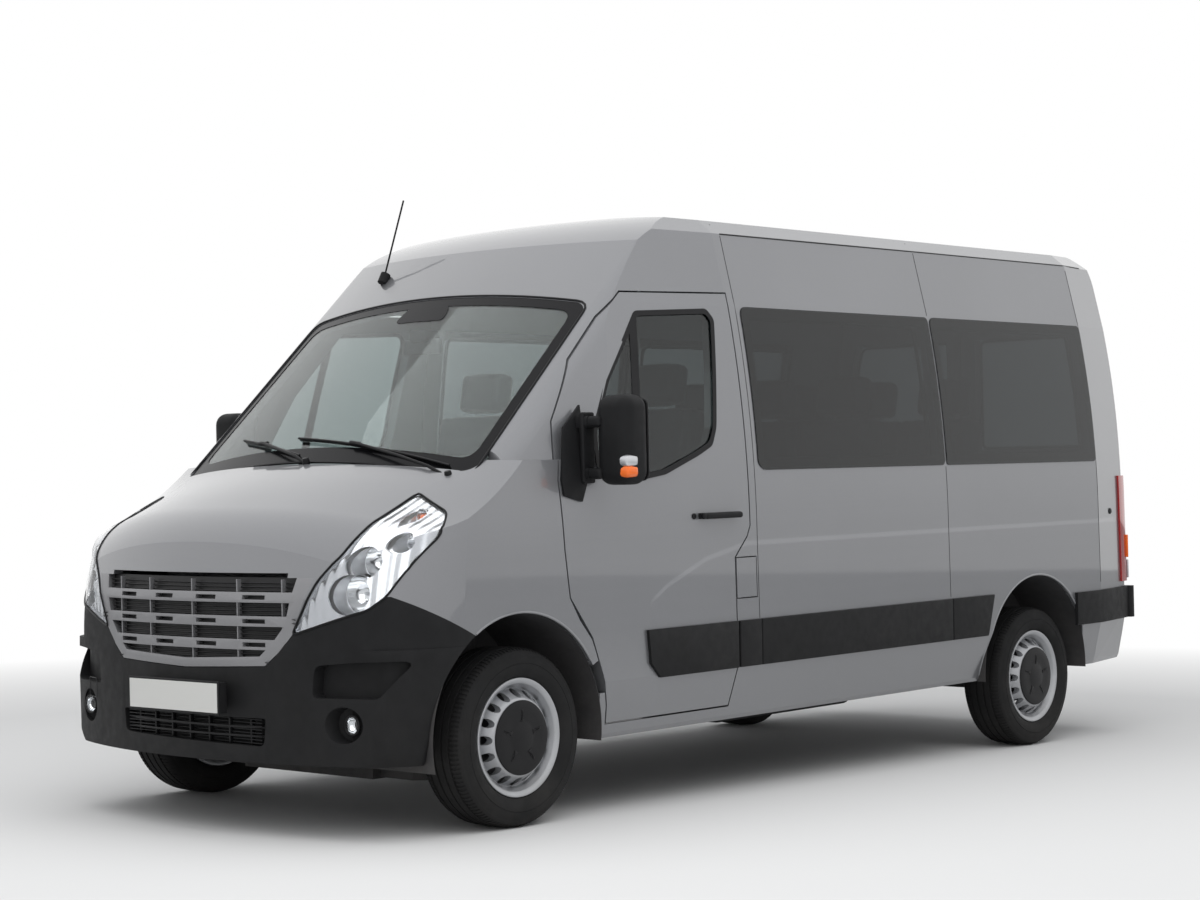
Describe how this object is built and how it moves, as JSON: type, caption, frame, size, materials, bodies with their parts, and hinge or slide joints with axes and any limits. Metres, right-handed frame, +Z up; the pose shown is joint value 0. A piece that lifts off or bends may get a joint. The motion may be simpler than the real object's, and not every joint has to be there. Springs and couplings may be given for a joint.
{
  "type": "passenger minibus with opening doors",
  "caption": "Medium-roof passenger minibus with glazed sides, hinged cab doors, rear barn doors, opening bonnet, steered front wheels and seat rows.",
  "frame": {"origin": "middle of the footprint on the ground", "axes": "+X to the vehicle's left, +Y to its rear, +Z up"},
  "size_m": [2.47, 5.5486, 2.5642],
  "materials": {
    "paint": "silver-grey metallic lacquer",
    "black_plastic": "fine-grained",
    "grille_paint": "satin silver",
    "black_gloss": "smooth",
    "tinted_glass": "clear, lightly tinted",
    "lamp_lens": "clear",
    "reflector": "bright",
    "tail_lens": "clear red",
    "tyre_rubber": "matt",
    "wheel_paint": "satin silver",
    "chassis": "dull undercoat",
    "dash_plastic": "soft grained",
    "seat_cloth": "woven",
    "cast_metal": "as cast",
    "exhaust_steel": "dull"
  },
  "bodies": {
    "root": {"floor_pan": "chassis", "sills": "paint", "cab_frame": "paint", "roof_front": "paint", "roof_rear": "paint", "side_front_left": "paint", "side_rear_left": "paint", "sliding_door": "paint", "side_rear_right": "paint", "fixed_glass": "tinted_glass", "front_wings": "paint", "front_bumper": "black_plastic", "grille": "grille_paint", "grille_mesh": "black_gloss", "headlamps": "reflector", "headlamp_lenses": "lamp_lens", "cowl": "black_plastic", "wipers": "black_plastic", "antenna": "black_plastic", "side_trims": "black_plastic", "rear_bumper": "black_plastic", "tail_lamps": "tail_lens", "dashboard": "dash_plastic", "front_seats": "seat_cloth", "rear_seats": "seat_cloth", "engine_block": "cast_metal", "fuel_tank": "black_plastic", "exhaust": "exhaust_steel", "front_axle": "chassis", "rear_axle": "chassis"},
    "bonnet": {"bonnet": "paint"},
    "door_left": {"door_left": "paint", "door_glass_left": "tinted_glass", "door_fittings_left": "black_plastic"},
    "door_right": {"door_right": "paint", "door_glass_right": "tinted_glass", "door_fittings_right": "black_plastic"},
    "rear_door_left": {"rear_door_left": "paint", "rear_glass_left": "tinted_glass"},
    "rear_door_right": {"rear_door_right": "paint", "rear_glass_right": "tinted_glass"},
    "fuel_flap": {"fuel_flap": "paint"},
    "steering_wheel": {"steering_wheel": "dash_plastic"},
    "knuckle_left": {"knuckle_left": "cast_metal"},
    "knuckle_right": {"knuckle_right": "cast_metal"},
    "wheel_front_left": {"rim_front_left": "wheel_paint", "tyre_front_left": "tyre_rubber"},
    "wheel_front_right": {"rim_front_right": "wheel_paint", "tyre_front_right": "tyre_rubber"},
    "wheel_rear_left": {"rim_rear_left": "wheel_paint", "tyre_rear_left": "tyre_rubber"},
    "wheel_rear_right": {"rim_rear_right": "wheel_paint", "tyre_rear_right": "tyre_rubber"}
  },
  "joints": [
    {"name": "steer_left", "type": "hinge", "parent": "root", "child": "knuckle_left", "pos_m": [0.77, -1.91182, 0.339], "axis": [0, 0, 1], "range_deg": [-35, 35]},
    {"name": "steer_right", "type": "hinge", "parent": "root", "child": "knuckle_right", "pos_m": [-0.77, -1.91182, 0.339], "axis": [0, 0, 1], "range_deg": [-35, 35]},
    {"name": "steering_turn", "type": "hinge", "parent": "root", "child": "steering_wheel", "pos_m": [0.44, -1.29064, 1.34189], "axis": [0, 0.6007, 0.7995], "range_deg": [-560, 560]},
    {"name": "roll_front_left", "type": "hinge", "parent": "knuckle_left", "child": "wheel_front_left", "pos_m": [0.875, -1.91182, 0.339], "axis": [1, 0, 0], "continuous": true},
    {"name": "roll_front_right", "type": "hinge", "parent": "knuckle_right", "child": "wheel_front_right", "pos_m": [-0.875, -1.91182, 0.339], "axis": [1, 0, 0], "continuous": true},
    {"name": "roll_rear_left", "type": "hinge", "parent": "root", "child": "wheel_rear_left", "pos_m": [0.865, 1.77018, 0.339], "axis": [1, 0, 0], "continuous": true},
    {"name": "roll_rear_right", "type": "hinge", "parent": "root", "child": "wheel_rear_right", "pos_m": [-0.865, 1.77018, 0.339], "axis": [1, 0, 0], "continuous": true},
    {"name": "door_left_open", "type": "hinge", "parent": "root", "child": "door_left", "pos_m": [1.013, -1.66046, 0.90484], "axis": [0, 0.0188, -0.9998], "range_deg": [0, 70]},
    {"name": "door_right_open", "type": "hinge", "parent": "root", "child": "door_right", "pos_m": [-1.013, -1.66046, 0.90484], "axis": [0, -0.0188, 0.9998], "range_deg": [0, 70]},
    {"name": "rear_door_left_open", "type": "hinge", "parent": "root", "child": "rear_door_left", "pos_m": [0.925, 2.72233, 1.48755], "axis": [0, 0.0188, -0.9998], "range_deg": [0, 180]},
    {"name": "rear_door_right_open", "type": "hinge", "parent": "root", "child": "rear_door_right", "pos_m": [-0.925, 2.72233, 1.48755], "axis": [0, -0.0188, 0.9998], "range_deg": [0, 180]},
    {"name": "bonnet_open", "type": "hinge", "parent": "root", "child": "bonnet", "pos_m": [0, -2.03682, 1.39783], "axis": [-1, 0, 0], "range_deg": [0, 50]},
    {"name": "fuel_flap_open", "type": "hinge", "parent": "root", "child": "fuel_flap", "pos_m": [1.021, -0.51118, 0.9005], "axis": [0, -0.0188, 0.9998], "range_deg": [0, 100]}
  ],
  "couplings": [
    {"joint": "steer_right", "follows": "steer_left", "ratio": 1},
    {"joint": "steering_turn", "follows": "steer_left", "ratio": 15}
  ]
}
